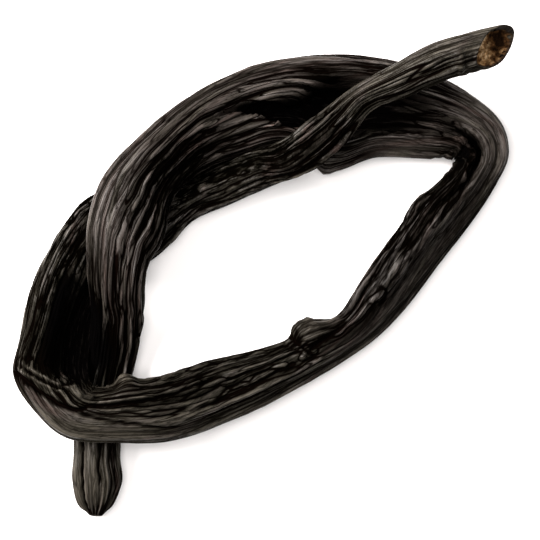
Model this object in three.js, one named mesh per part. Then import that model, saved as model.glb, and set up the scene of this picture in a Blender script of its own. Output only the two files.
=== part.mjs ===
import * as THREE from "three";

// One cured vanilla pod: long, soft, flattened and wrinkled, tied in a single loose overhand knot and lying
// on a table. Millimetres, +Z up. The table is z = 0, and the origin lies under the middle of the knot.
// The pod is one skin stretched over a row of cross-sections that runs from the cut stem end to the
// blossom tip, so it is one closed body that passes over and under itself three times.

// Driving dimensions --------------------------------------------------------------------------------------
const STATIONS = 182; // cross-sections along the pod
const SIDES = 32; // points round a cross-section
const BOARD_MIDDLE = [26.1, 27]; // the point of the drawing board that becomes the origin
const SQUARENESS = 2.4; // exponent of the superellipse: 2 is an ellipse, more is boxier
const HOLLOW_WALL = 1.2; // steepness of a hollow's sides: 1 is a round dip, more is a flat-floored trough
const PRESSED = 0.12; // how far the soft underside is flattened by the table
const CUT_RAKE = 52; // degrees by which the knife leant back at the stem end
const CUT_REACH = 6; // length over which the sections lean into that cut
const CUT_DISH = 0.5; // depth to which the cut tissue has shrunk into the stem
const CAP_ROUND = 0.25; // how far the last point of the blossom tip stands out
const END_FADE = 1.2; // length over which the relief dies out at either end
const RIDGE = { count: 8, height: 0.17, drift: 0.1, sway: 0.6, swayRate: 0.11 };
const WAVE = { count: 5, height: 0.08, drift: -0.07, phase: 1 };
const UNDERSIDE_RELIEF = 0.45; // share of the relief that is left on the pressed underside

// The laying-out of the knot. Each row is one cross-section: its inner margin, on the side of the loop's
// hole, and its outer margin, both in millimetres right and down from the corner of a drawing board; the
// height of its underside over the table; its thickness; how much higher the outer margin is than the inner
// one; the hollow along its upper side, where the skin has sunk: the share of the thickness that is gone,
// where the hollow lies (-1 inner margin, 1 outer margin) and its half width in the same measure; and the
// fall, the share of the height by which the upper side slopes down to the outer margin, or, below zero, to
// the inner one.
const LAYOUT = [
  // name            inner margin    outer margin    under thick  lean hollow  at    half  fall
  ["cut end",        [48.60,  7.00], [50.08,  2.75], 6.1, 4.0,  0.0, 0.00,  0.00, 0.50,  0.0],
  ["stem",           [44.70,  8.10], [43.30,  4.55], 5.5, 3.6,  0.0, 0.00,  0.00, 0.50,  0.0],
  ["stem over rim",  [40.30,  9.90], [39.00,  6.80], 4.6, 3.5,  0.0, 0.00,  0.00, 0.50,  0.0],
  ["stem waist",     [37.10, 11.10], [35.00,  9.00], 4.3, 3.2,  0.0, 0.00,  0.00, 0.50,  0.0],
  ["stem leaves",    [34.20, 14.70], [31.00, 12.20], 3.9, 3.5,  0.0, 0.00,  0.00, 0.50,  0.0],
  ["stem inside",    [31.20, 17.00], [28.40, 14.00], 3.4, 3.6,  0.0, 0.00,  0.00, 0.50,  0.0],
  ["lower a",        [27.20, 18.50], [25.75, 15.10], 1.2, 3.9, -0.6, 0.00,  0.00, 0.50,  0.2],
  ["lower b",        [23.40, 20.10], [21.85, 16.45], 0.1, 3.9, -0.7, 0.00,  0.00, 0.50,  0.3],
  ["lower c",        [19.40, 21.90], [17.20, 18.50], 0.0, 3.7, -0.6, 0.00,  0.00, 0.50,  0.3],
  ["under a",        [16.70, 24.80], [12.40, 18.60], 0.0, 3.3,  0.0, 0.00,  0.00, 0.50,  0.0],
  ["under b",        [13.90, 26.80], [ 8.40, 20.00], 0.0, 3.2,  0.0, 0.00,  0.00, 0.50,  0.0],
  ["left a",         [11.00, 28.60], [ 5.57, 23.75], 0.0, 3.0,  0.5, 0.35, -0.80, 0.90,  0.0],
  ["left b",         [ 9.40, 31.50], [ 3.38, 28.20], 0.1, 3.5,  1.2, 0.60, -0.90, 1.20,  0.0],
  ["left c",         [ 8.62, 34.60], [ 2.15, 33.40], 1.0, 3.8,  1.2, 0.72, -0.90, 1.30,  0.0],
  ["fold a",         [ 8.75, 37.20], [ 1.45, 37.40], 2.6, 3.8,  0.6, 0.66, -0.90, 1.10,  0.0],
  ["fold b",         [ 9.30, 38.30], [ 3.55, 41.05], 3.5, 3.9,  0.0, 0.35, -1.00, 0.60,  0.0],
  ["fold c",         [10.20, 38.60], [ 6.80, 43.75], 3.8, 3.8,  0.0, 0.10, -1.00, 0.50,  0.0],
  ["over tip",       [12.40, 38.20], [12.00, 44.20], 3.8, 3.6,  0.0, 0.00,  0.00, 0.50,  0.0],
  ["bottom a",       [16.00, 37.60], [17.20, 44.05], 2.4, 3.9,  0.0, 0.00,  0.00, 0.50,  0.0],
  ["bottom b",       [20.60, 36.15], [22.40, 42.40], 0.2, 4.2,  0.0, 0.00,  0.00, 0.50,  0.2],
  ["bottom c",       [25.60, 35.00], [27.90, 39.80], 0.0, 4.0,  0.0, 0.00,  0.00, 0.50,  0.3],
  ["knuckle",        [30.00, 33.50], [32.60, 37.20], 0.0, 4.0,  0.0, 0.00,  0.00, 0.50,  0.4],
  ["past knuckle",   [33.70, 31.60], [36.95, 34.25], 0.0, 4.0,  0.0, 0.00,  0.00, 0.50,  0.6],
  ["right a",        [36.00, 28.20], [40.35, 30.95], 0.0, 4.0,  0.0, 0.00,  0.00, 0.50,  0.7],
  ["right b",        [39.10, 23.90], [44.00, 26.15], 0.0, 4.1,  0.0, 0.00,  0.00, 0.50,  0.7],
  ["right c",        [41.30, 20.90], [47.00, 22.35], 0.0, 4.2,  0.0, 0.00,  0.00, 0.50,  0.6],
  ["right d",        [44.20, 17.90], [49.55, 18.60], 0.0, 4.0,  0.0, 0.35, -0.10, 0.30,  0.3],
  ["bend a",         [45.35, 16.50], [50.95, 15.40], 0.0, 3.9,  0.0, 0.60, -0.42, 0.42,  0.0],
  ["bend b",         [45.45, 16.00], [50.10, 12.05], 0.0, 3.9,  0.0, 0.58, -0.48, 0.45,  0.0],
  ["bend c",         [45.00, 15.80], [46.85,  9.20], 0.0, 3.9,  0.0, 0.20, -0.30, 0.45,  0.0],
  ["top a",          [42.60, 15.80], [42.40,  7.00], 0.0, 3.9,  0.0, 0.30, -0.05, 0.45,  0.0],
  ["top b",          [37.60, 15.70], [38.40,  5.85], 0.0, 3.9,  0.0, 0.78,  0.02, 0.58,  0.0],
  ["top c",          [32.90, 17.00], [33.60,  5.30], 0.0, 3.8,  0.0, 0.80,  0.12, 0.56,  0.0],
  ["top d",          [28.60, 14.50], [28.40,  5.76], 0.0, 3.8, -0.3, 0.90, -0.42, 0.44, -0.2],
  ["upper a",        [24.30, 15.30], [23.60,  7.12], 0.2, 3.9, -0.9, 0.50, -0.07, 0.09, -0.5],
  ["upper b",        [20.20, 16.85], [18.70,  9.80], 1.4, 3.9, -0.9, 0.00, -0.06, 0.05, -0.6],
  ["upper c",        [17.20, 20.00], [14.40, 13.45], 3.3, 3.7, -0.4, 0.00,  0.00, 0.50, -0.5],
  ["over a",         [16.50, 23.40], [10.60, 17.60], 3.7, 3.6,  0.0, 0.00,  0.00, 0.50, -0.3],
  ["over b",         [15.10, 26.00], [ 9.00, 22.20], 3.7, 3.6,  0.0, 0.00,  0.00, 0.50,  0.0],
  ["dive a",         [14.45, 28.40], [ 8.90, 26.60], 3.6, 3.5,  0.0, 0.00,  0.00, 0.50,  0.0],
  ["dive b",         [14.15, 32.00], [ 9.32, 31.20], 1.5, 3.4,  0.0, 0.00,  0.00, 0.50,  0.0],
  ["dive c",         [13.30, 36.40], [ 8.88, 36.20], 0.0, 3.3,  0.0, 0.00,  0.00, 0.50,  0.0],
  ["under bottom",   [12.05, 41.40], [ 7.60, 41.40], 0.0, 3.2,  0.0, 0.00,  0.00, 0.50,  0.0],
  ["tip a",          [11.90, 45.60], [ 7.30, 45.60], 0.0, 3.4,  0.0, 0.00,  0.00, 0.50,  0.0],
  ["tip b",          [12.15, 48.20], [ 7.15, 47.90], 0.0, 3.3,  0.0, 0.00,  0.00, 0.50,  0.0],
  ["tip c",          [11.40, 50.20], [ 7.65, 50.20], 0.2, 2.6,  0.0, 0.00,  0.00, 0.50,  0.0],
  ["tip end",        [10.30, 51.50], [ 8.70, 51.40], 0.8, 1.2,  0.0, 0.00,  0.00, 0.50,  0.0],
];

// Swellings of the skin: the row they sit at, how much further along the middle is, how far round from
// the outer margin, how high they stand, their reach before and after the middle, and round the pod, and
// how square they are (2 is a bell, more is a rounded box).
const SWELLINGS = [
  { row: "knuckle", on: 0.35, round: 2.75, height: 1.45, before: 1.25, after: 2.9, width: 0.75, square: 2.6 },
  { row: "over tip", on: 0.2, round: 2.9, height: 0.9, before: 1.5, after: 1.7, width: 0.8, square: 2.5 },
  { row: "top c", on: 0.4, round: 3.1, height: 0.5, before: 0.8, after: 0.9, width: 0.6, square: 2 },
  { row: "right c", on: 0.6, round: 2.9, height: 0.4, before: 1.6, after: 1.8, width: 0.6, square: 2 },
  { row: "stem", on: -3.2, round: 1.9, height: 0.35, before: 0.9, after: 0.9, width: 0.7, square: 2 },
];

// Small functions -----------------------------------------------------------------------------------------
function smooth(x) {
  const c = Math.min(1, Math.max(0, x));
  return c * c * (3 - 2 * c);
}

function signedPower(x, power) {
  return Math.sign(x) * Math.abs(x) ** power;
}

// A Catmull-Rom curve through the numbers of a column, with whole numbers of t at the rows.
function through(column, t) {
  const last = column.length - 1;
  const i = Math.min(Math.floor(t), last - 1);
  const f = t - i;
  const [a, b, c, d] = [i - 1, i, i + 1, i + 2].map((k) => column[Math.min(last, Math.max(0, k))]);
  return b + 0.5 * f * (c - a + f * (2 * a - 5 * b + 4 * c - d + f * (3 * (b - c) + d - a)));
}

// The layout at any t between the first row (0) and the last.
const columns = [0, 1, 2, 3, 4, 5, 6, 7, 8, 9, 10].map((k) => LAYOUT.map((row) => row.slice(1).flat()[k]));

function layoutAt(t) {
  const [ix, iy, ox, oy, under, thick, lean, hollow, place, half, fall] = columns.map((c) => through(c, t));
  const middle = Math.max(0, under) + thick / 2 - PRESSED;
  const inner = new THREE.Vector3(ix - BOARD_MIDDLE[0], BOARD_MIDDLE[1] - iy, middle - lean / 2);
  const outer = new THREE.Vector3(ox - BOARD_MIDDLE[0], BOARD_MIDDLE[1] - oy, middle + lean / 2);
  return { inner, outer, thick, hollow, place, half, fall };
}

// How far along the pod each t is, measured on whichever margin has the longer way to go, so that the
// sections stay close together round the outside of the sharp bends.
const FINE = 24;
const fine = Array.from({ length: (LAYOUT.length - 1) * FINE + 1 }, (_, k) => layoutAt(k / FINE));
const travel = [0];
for (let k = 1; k < fine.length; k++) {
  const innerStep = fine[k].inner.distanceTo(fine[k - 1].inner);
  const outerStep = fine[k].outer.distanceTo(fine[k - 1].outer);
  travel.push(travel[k - 1] + Math.max(innerStep, outerStep));
}
const LENGTH = travel[travel.length - 1];

function travelAtRow(name) {
  return travel[FINE * LAYOUT.findIndex((row) => row[0] === name)];
}

function tAtTravel(distance) {
  let k = 1;
  while (k < travel.length - 1 && travel[k] < distance) k++;
  return (k - 1 + (distance - travel[k - 1]) / (travel[k] - travel[k - 1])) / FINE;
}

// The pod's cross-sections --------------------------------------------------------------------------------
// A section's own axes: half its width towards the outer margin, and a unit vector through its thickness.
const sections = Array.from({ length: STATIONS }, (_, k) => {
  const distance = (LENGTH * k) / (STATIONS - 1);
  const section = { distance, ...layoutAt(tAtTravel(distance)) };
  section.centre = section.inner.clone().add(section.outer).multiplyScalar(0.5);
  section.across = section.outer.clone().sub(section.inner).multiplyScalar(0.5);
  return section;
});
sections.forEach((section, k) => {
  const before = sections[Math.max(0, k - 1)].centre;
  const after = sections[Math.min(STATIONS - 1, k + 1)].centre;
  const ahead = after.clone().sub(before).normalize();
  const up = section.across.clone().cross(ahead).normalize();
  const rake = THREE.MathUtils.degToRad(CUT_RAKE) * smooth(1 - section.distance / CUT_REACH);
  section.up = up.multiplyScalar(Math.cos(rake)).addScaledVector(ahead, Math.sin(rake));
});

// A point of the smooth skin: a superellipse whose upper half slopes and has partly sunk in.
function skinPoint(section, angle) {
  const u = signedPower(Math.cos(angle), 2 / SQUARENESS);
  const v = signedPower(Math.sin(angle), 2 / SQUARENESS);
  const fromTrough = Math.abs((u - section.place) / section.half);
  const sunk = Math.max(0, section.hollow) * smooth(HOLLOW_WALL * (1 - fromTrough));
  const sloped = Math.abs(section.fall) * smooth((Math.sign(section.fall) * u + 0.4) / 1.4);
  const height = v > 0 ? v * (1 - sloped) * (1 - 2 * sunk) : v;
  return section.centre
    .clone()
    .addScaledVector(section.across, u)
    .addScaledVector(section.up, (height * section.thick) / 2);
}

// The relief: long ridges that drift slowly round the pod, broader waves under them, and the swellings.
// It is weak on the underside and where the sections crowd together on the inside of a bend.
function relief(angle, distance, spread) {
  const sway = RIDGE.sway * Math.sin(RIDGE.swayRate * distance);
  const ridges = RIDGE.height * Math.cos(RIDGE.count * angle + RIDGE.drift * distance + sway);
  const waves = WAVE.height * Math.cos(WAVE.count * angle + WAVE.drift * distance + WAVE.phase);
  const side = Math.sin(angle) < 0 ? UNDERSIDE_RELIEF : 1;
  const crowding = Math.min(1, Math.max(0, 1.3 * spread - 0.15));
  let height = (ridges + waves) * side * crowding;
  for (const swelling of SWELLINGS) {
    const past = distance - travelAtRow(swelling.row) - swelling.on;
    const turn = THREE.MathUtils.euclideanModulo(angle - swelling.round + Math.PI, 2 * Math.PI) - Math.PI;
    const along = Math.abs(past / (past < 0 ? swelling.before : swelling.after)) ** swelling.square;
    const around = Math.abs(turn / swelling.width) ** swelling.square;
    height += swelling.height * Math.exp(-along - around);
  }
  return height * smooth(distance / END_FADE) * smooth((LENGTH - distance) / END_FADE);
}

function podGeometry() {
  const angles = Array.from({ length: SIDES }, (_, j) => (2 * Math.PI * j) / SIDES);
  const skin = sections.map((section) => angles.map((angle) => skinPoint(section, angle)));
  const spacing = LENGTH / (STATIONS - 1);
  const positions = [];
  sections.forEach((section, k) => {
    const behind = skin[Math.max(0, k - 1)];
    const ahead = skin[Math.min(STATIONS - 1, k + 1)];
    const steps = Math.min(STATIONS - 1, k + 1) - Math.max(0, k - 1);
    angles.forEach((angle, j) => {
      const round = skin[k][(j + 1) % SIDES].clone().sub(skin[k][(j + SIDES - 1) % SIDES]);
      const along = ahead[j].clone().sub(behind[j]);
      const outward = along.clone().cross(round).normalize();
      const height = relief(angle, section.distance, along.length() / steps / spacing);
      const point = skin[k][j].clone().addScaledVector(outward, height);
      positions.push(point.x, point.y, Math.max(0, point.z));
    });
  });
  const [first, last] = [sections[0], sections[STATIONS - 1]];
  const intoStem = first.up.clone().cross(first.across).normalize();
  const outOfTip = last.up.clone().cross(last.across).normalize();
  const cutMiddle = first.centre.clone().addScaledVector(intoStem, -CUT_DISH);
  const tipMiddle = last.centre.clone().addScaledVector(outOfTip, CAP_ROUND);
  positions.push(...cutMiddle.toArray(), ...tipMiddle.toArray());

  // Every four-cornered patch is split along its shorter diagonal, so that slanting walls stay smooth.
  const apart = (a, b) => {
    const [p, q] = [a, b].map((k) => new THREE.Vector3().fromArray(positions, 3 * k));
    return p.distanceTo(q);
  };
  const cut = STATIONS * SIDES;
  const tip = cut + 1;
  const triangles = [];
  for (let j = 0; j < SIDES; j++) {
    const next = (j + 1) % SIDES;
    for (let k = 0; k < STATIONS - 1; k++) {
      const [a, b] = [k * SIDES + j, k * SIDES + next];
      const [c, d] = [a + SIDES, b + SIDES];
      if (apart(a, d) < apart(b, c)) triangles.push(a, c, d, a, d, b);
      else triangles.push(a, c, b, b, c, d);
    }
    triangles.push(j, next, cut);
    triangles.push((STATIONS - 1) * SIDES + next, (STATIONS - 1) * SIDES + j, tip);
  }
  const geometry = new THREE.BufferGeometry();
  geometry.setAttribute("position", new THREE.Float32BufferAttribute(positions, 3));
  geometry.setIndex(triangles);
  geometry.computeVertexNormals();
  return geometry;
}

// The knotted pod -----------------------------------------------------------------------------------------
const skinMaterial = new THREE.MeshStandardMaterial({ color: 0x2a211c, roughness: 0.5, metalness: 0 });
const pod = new THREE.Mesh(podGeometry(), skinMaterial);
pod.name = "pod";

const knottedVanillaPod = new THREE.Group();
knottedVanillaPod.add(pod);

export default knottedVanillaPod;
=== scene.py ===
# %% [markdown]
# # A knotted vanilla pod
#
# A cured vanilla pod is a soft, oily, nearly black fruit about as long as a hand. Drying shrinks the flesh
# inside, so the skin, which is now too large for it, gathers into dozens of long wrinkles. This one is tied
# in a loose overhand knot and lies on a table. The lesson builds its skin as one surface worked out with
# numpy, gives it a procedural finish, and lights it on a pale floor.
#
# The packed solid comes first, and its size is printed.

import math

import bpy
import numpy as np
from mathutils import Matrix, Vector


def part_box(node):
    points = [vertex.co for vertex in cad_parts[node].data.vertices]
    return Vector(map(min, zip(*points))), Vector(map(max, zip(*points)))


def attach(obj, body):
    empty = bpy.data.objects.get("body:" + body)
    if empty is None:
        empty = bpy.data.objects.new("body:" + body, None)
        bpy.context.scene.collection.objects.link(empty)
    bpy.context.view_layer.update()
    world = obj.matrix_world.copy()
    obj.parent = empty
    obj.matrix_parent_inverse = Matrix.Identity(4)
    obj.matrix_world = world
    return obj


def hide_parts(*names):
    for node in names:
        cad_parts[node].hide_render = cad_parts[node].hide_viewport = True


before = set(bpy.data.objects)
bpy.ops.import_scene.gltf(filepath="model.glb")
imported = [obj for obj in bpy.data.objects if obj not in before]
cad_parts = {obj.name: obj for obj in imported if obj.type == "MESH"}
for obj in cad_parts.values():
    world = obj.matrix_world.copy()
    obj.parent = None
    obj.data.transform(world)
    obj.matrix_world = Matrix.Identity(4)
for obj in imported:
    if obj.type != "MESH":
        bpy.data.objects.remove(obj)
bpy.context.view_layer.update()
pod_low, pod_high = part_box("pod")
print("the solid pod measures", np.round((np.array(pod_high) - np.array(pod_low)) * 1000, 1), "mm")

# %% [markdown]
# ## The laying-out of the knot
#
# A knotted strand could be a curve with a bevel, but a soft pod isn't round: it is a ribbon here, nearly
# round there, and it folds where it turns sharply. So the pod is laid out as a row of cross-sections. Each
# row says where the inner margin (towards the loop's hole) and the outer margin lie on a drawing board, in
# millimetres right and down from its corner, how high the underside is above the table, and how thick the
# pod is.

# %% The rows, from the cut stem end to the blossom tip
MM = 0.001
BOARD_MIDDLE = (26.1, 27.0)
LAYOUT = [
    # name            inner margin   outer margin   under thick
    ("cut end",       (48.60, 7.00), (50.08, 2.75), 6.1, 4.0),
    ("stem",          (44.70, 8.10), (43.30, 4.55), 5.5, 3.6),
    ("stem over rim", (40.30, 9.90), (39.00, 6.80), 4.6, 3.5),
    ("stem waist",    (37.10, 11.1), (35.00, 9.00), 4.3, 3.2),
    ("stem leaves",   (34.20, 14.7), (31.00, 12.2), 3.9, 3.5),
    ("stem inside",   (31.20, 17.0), (28.40, 14.0), 3.4, 3.6),
    ("lower a",       (27.20, 18.5), (25.70, 15.0), 1.2, 3.9),
    ("lower b",       (23.40, 20.1), (21.80, 16.35), 0.1, 3.9),
    ("lower c",       (19.40, 21.9), (17.20, 18.5), 0.0, 3.7),
    ("under a",       (16.70, 24.8), (12.40, 18.6), 0.0, 3.3),
    ("under b",       (13.90, 26.8), (8.40, 20.0), 0.0, 3.2),
    ("left a",        (11.00, 28.6), (5.57, 23.75), 0.0, 3.0),
    ("left b",        (9.40, 31.5), (3.38, 28.2), 0.1, 3.5),
    ("left c",        (8.90, 34.6), (2.15, 33.4), 1.0, 3.8),
    ("fold a",        (8.85, 37.2), (1.45, 37.4), 2.6, 3.8),
    ("fold b",        (9.30, 38.3), (3.55, 41.05), 3.5, 3.9),
    ("fold c",        (10.2, 38.6), (6.80, 43.75), 3.8, 3.8),
    ("over tip",      (12.4, 38.2), (12.0, 44.2), 3.8, 3.6),
    ("bottom a",      (16.0, 37.6), (17.2, 44.05), 2.4, 3.9),
    ("bottom b",      (20.6, 36.15), (22.4, 42.4), 0.2, 4.2),
    ("bottom c",      (25.6, 35.0), (27.9, 39.80), 0.0, 4.0),
    ("knuckle",       (30.0, 33.5), (32.6, 37.2), 0.0, 4.0),
    ("past knuckle",  (33.7, 31.6), (36.95, 34.25), 0.0, 4.0),
    ("right a",       (36.0, 28.2), (40.35, 30.95), 0.0, 4.0),
    ("right b",       (39.1, 23.9), (44.0, 26.15), 0.0, 4.1),
    ("right c",       (41.3, 20.9), (47.0, 22.35), 0.0, 4.2),
    ("right d",       (44.2, 17.9), (49.55, 18.6), 0.0, 4.0),
    ("bend a",        (45.35, 16.5), (50.95, 15.4), 0.0, 3.9),
    ("bend b",        (45.45, 16.0), (50.1, 12.05), 0.0, 3.9),
    ("bend c",        (45.0, 15.8), (46.85, 9.2), 0.0, 3.9),
    ("top a",         (42.6, 15.8), (42.4, 7.0), 0.0, 3.9),
    ("top b",         (37.6, 15.7), (38.4, 5.85), 0.0, 3.9),
    ("top c",         (32.9, 17.0), (33.6, 5.3), 0.0, 3.8),
    ("top d",         (28.6, 14.5), (28.4, 5.76), 0.0, 3.8),
    ("upper a",       (24.3, 15.4), (23.6, 7.12), 0.2, 3.9),
    ("upper b",       (20.2, 17.0), (18.7, 9.8), 1.4, 3.9),
    ("upper c",       (17.2, 20.0), (14.4, 13.45), 3.3, 3.7),
    ("over a",        (16.5, 23.4), (10.6, 17.6), 3.7, 3.6),
    ("over b",        (15.1, 26.0), (9.00, 22.2), 3.7, 3.6),
    ("dive a",        (14.45, 28.4), (8.90, 26.6), 3.6, 3.5),
    ("dive b",        (14.15, 32.0), (9.20, 31.2), 1.5, 3.4),
    ("dive c",        (13.3, 36.4), (8.75, 36.2), 0.0, 3.3),
    ("under bottom",  (12.05, 41.4), (7.60, 41.4), 0.0, 3.2),
    ("tip a",         (11.9, 45.6), (7.30, 45.6), 0.0, 3.4),
    ("tip b",         (12.15, 48.2), (7.15, 47.9), 0.0, 3.3),
    ("tip c",         (11.4, 50.2), (7.65, 50.2), 0.2, 2.6),
    ("tip end",       (10.3, 51.5), (8.70, 51.4), 0.8, 1.2),
]
names = [row[0] for row in LAYOUT]
print(len(names), "rows lay out the knot")

# %% [markdown]
# What only some rows have stands in tables of its own, and every other row has none of it: a *lean*, which
# lifts the outer margin above the inner one; a *hollow*, where the upper side has sunk in like a trough, by a
# share of the thickness, at a place across (-1 is the inner margin, 1 the outer one) and with a half width;
# a *fall*, where the upper side slopes down to the outer margin (or, below zero, to the inner one); and a
# *calm*, where the skin is stretched smooth by so much, from a place across to the outer margin (or, below
# zero, to the inner one).

# %% What some rows have besides
LEAN = {"lower a": -0.6, "lower b": -0.7, "lower c": -0.6, "left a": 0.5, "left b": 1.2, "left c": 1.2,
        "fold a": 0.6, "top d": -0.3, "upper a": -0.9, "upper b": -0.9, "upper c": -0.4}
HOLLOW = {"left a": (0.35, -0.80, 0.90), "left b": (0.60, -0.90, 1.20), "left c": (0.72, -0.90, 1.30),
          "fold a": (0.66, -0.90, 1.10), "fold b": (0.35, -1.00, 0.60), "fold c": (0.10, -1.00, 0.50),
          "right d": (0.30, -0.06, 0.22), "bend a": (0.75, -0.16, 0.22), "bend b": (0.75, -0.18, 0.22),
          "bend c": (0.40, -0.22, 0.20), "top a": (0.30, -0.05, 0.45), "top b": (0.78, 0.02, 0.58),
          "top c": (0.80, 0.12, 0.56), "top d": (0.90, -0.30, 0.34), "upper a": (0.55, 0.07, 0.10),
          "upper b": (0.0, 0.10, 0.05)}
NO_HOLLOW = (0.0, 0.0, 0.5)
FALL = {"lower a": 0.2, "lower b": 0.3, "lower c": 0.3, "bottom b": 0.2, "bottom c": 0.3, "knuckle": 0.4,
        "past knuckle": 0.6, "right a": 0.7, "right b": 0.7, "right c": 0.6, "right d": 0.3,
        "top d": -0.2, "upper a": -0.5, "upper b": -0.6, "upper c": -0.5, "over a": -0.3}
CALM = {"fold a": (0.4, 0.5), "fold b": (0.9, 0.2), "fold c": (1.0, 0.0), "over tip": (0.9, 0.1),
        "bottom a": (0.7, 0.35), "bottom b": (0.6, 0.5), "bottom c": (0.6, 0.5), "knuckle": (0.8, 0.4),
        "past knuckle": (1.0, 0.3), "right a": (1.0, 0.15), "right b": (1.0, 0.0), "right c": (0.9, 0.1),
        "right d": (0.8, 0.0), "bend a": (0.85, -0.05), "bend b": (0.85, -0.05), "bend c": (0.8, -0.05),
        "top a": (-0.7, -0.5), "top b": (-0.8, -0.5), "top c": (0.7, 0.65), "top d": (0.7, 0.65),
        "upper a": (0.6, 0.6), "upper b": (0.65, 0.5), "upper c": (0.6, 0.35), "over a": (0.7, 0.2),
        "over b": (0.7, 0.1), "dive a": (0.5, 0.2), "cut end": (0.8, -0.2), "stem": (0.6, 0.2),
        "stem over rim": (0.6, 0.4), "stem waist": (0.6, 0.3), "tip a": (0.9, -0.3), "tip b": (0.9, -0.4),
        "tip c": (0.8, -0.4)}
NOT_CALM = (0.0, 0.5)
rows = np.array([[*inner, *outer, under, thick, LEAN.get(name, 0.0), *HOLLOW.get(name, NO_HOLLOW),
                  FALL.get(name, 0.0), *CALM.get(name, NOT_CALM)]
                 for name, inner, outer, under, thick in LAYOUT])
print("rows with a hollow:", len(HOLLOW))

# %% [markdown]
# A smooth curve has to run through every row. Catmull-Rom is the simplest one that does: between two rows
# it is a cubic whose slope at each row is the slope between that row's two neighbours. All columns are
# carried along at once, so margins, thickness and hollows change together.

# %% From rows to sections anywhere along the pod
PRESSED = 0.12  # how far the soft underside is flattened by the table, in millimetres


def through(table, t):
    """For the rows a, b, c, d round t: b + f/2 (c - a + f (2a - 5b + 4c - d + f (3 (b - c) + d - a)))."""
    last = len(table) - 1
    row = np.clip(np.floor(t).astype(int), 0, last - 1)
    f = (t - row)[:, None]
    a, b, c, d = (table[np.clip(row + k, 0, last)] for k in (-1, 0, 1, 2))
    return b + 0.5 * f * (c - a + f * (2 * a - 5 * b + 4 * c - d + f * (3 * (b - c) + d - a)))


def smooth(x):
    """3x^2 - 2x^3 with x held between 0 and 1: a soft step."""
    x = np.clip(x, 0.0, 1.0)
    return x * x * (3 - 2 * x)


def margins(t):
    """The inner and outer margin in space at each t, with the layout's other columns."""
    table = through(rows, t)
    inner_x, inner_y, outer_x, outer_y, under, thick, lean = table.T[:7]
    middle = np.maximum(0, under) + thick / 2 - PRESSED
    inner = np.column_stack([inner_x - BOARD_MIDDLE[0], BOARD_MIDDLE[1] - inner_y, middle - lean / 2])
    outer = np.column_stack([outer_x - BOARD_MIDDLE[0], BOARD_MIDDLE[1] - outer_y, middle + lean / 2])
    return inner, outer, table


fine_t = np.linspace(0, len(rows) - 1, 24 * (len(rows) - 1) + 1)
fine_inner, fine_outer, _ = margins(fine_t)
inner_step = np.linalg.norm(np.diff(fine_inner, axis=0), axis=1)
outer_step = np.linalg.norm(np.diff(fine_outer, axis=0), axis=1)
fine_travel = np.concatenate([[0], np.cumsum(np.maximum(inner_step, outer_step))])
LENGTH = fine_travel[-1]


def travel_at(name, further=0.0):
    """How far along the pod the named row lies, in millimetres, plus a little further."""
    return np.interp(names.index(name), fine_t, fine_travel) + further


middle_line = (fine_inner + fine_outer) / 2
pod_length = np.linalg.norm(np.diff(middle_line, axis=0), axis=1).sum()
print("the pod is", round(pod_length), "mm long along its middle")

# %% [markdown]
# The sections are close together where the skin has the most to show: in the folds, round the bends and at
# the tip. A density that rises there, added up along the pod and shared out evenly, gives their places.
# Round each section the points stand closer together on the upper side, which is the one that is seen.

# %% Where the sections stand
SECTIONS = 500
SIDES = 188
TOP_CROWDING = 0.6
CROWDED = [  # row, reach in millimetres, extra density
    ("cut end", 2.0, 1.5),
    ("fold b", 7.0, 1.6),
    ("over tip", 4.0, 0.8),
    ("knuckle", 3.5, 1.8),
    ("bend a", 5.0, 1.4),
    ("bend c", 4.0, 0.8),
    ("tip b", 5.0, 1.4),
]
along = np.linspace(0, LENGTH, 4000)
density = np.ones_like(along)
for name, reach, extra in CROWDED:
    density += extra * np.exp(-(((along - travel_at(name)) / reach) ** 2))
share = np.concatenate([[0], np.cumsum((density[1:] + density[:-1]) / 2)])
travel = np.interp(np.linspace(0, share[-1], SECTIONS), share, along)
t_of = np.interp(travel, fine_travel, fine_t)
turn = np.arange(SIDES) * 2 * math.pi / SIDES
angle = turn + TOP_CROWDING * np.cos(turn)
print(SECTIONS, "sections,", round(LENGTH / SECTIONS, 2), "mm apart on average")

# %% [markdown]
# Every section is a superellipse: its width runs from margin to margin, and its thickness stands at a right
# angle to both the width and the pod's own direction. Where the upper side has sunk, part of the height is
# taken away, steeply towards the inner margin and gently towards the outer one. Near the stem end the
# sections lean back with the knife's cut.

# %% The smooth skin
SQUARENESS = 2.4
STEEP_WALL, GENTLE_WALL = 3.2, 1.5
CUT_RAKE = math.radians(52)
CUT_REACH = 6.0


def signed_power(x, power):
    """The power of x's size with x's own sign."""
    return np.sign(x) * np.abs(x) ** power


def unit(v):
    """Each vector divided by its length."""
    return v / np.maximum(np.linalg.norm(v, axis=-1, keepdims=True), 1e-9)


inner, outer, table = margins(t_of)
centre = (inner + outer) / 2
across = (outer - inner) / 2
ahead = unit(np.gradient(centre, axis=0))
up = unit(np.cross(across, ahead))
rake = (CUT_RAKE * smooth(1 - travel / CUT_REACH))[:, None]
up = up * np.cos(rake) + ahead * np.sin(rake)
thick, _, hollow, hollow_at, hollow_half, fall, calm, calm_from = table.T[5:, :, None]

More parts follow.
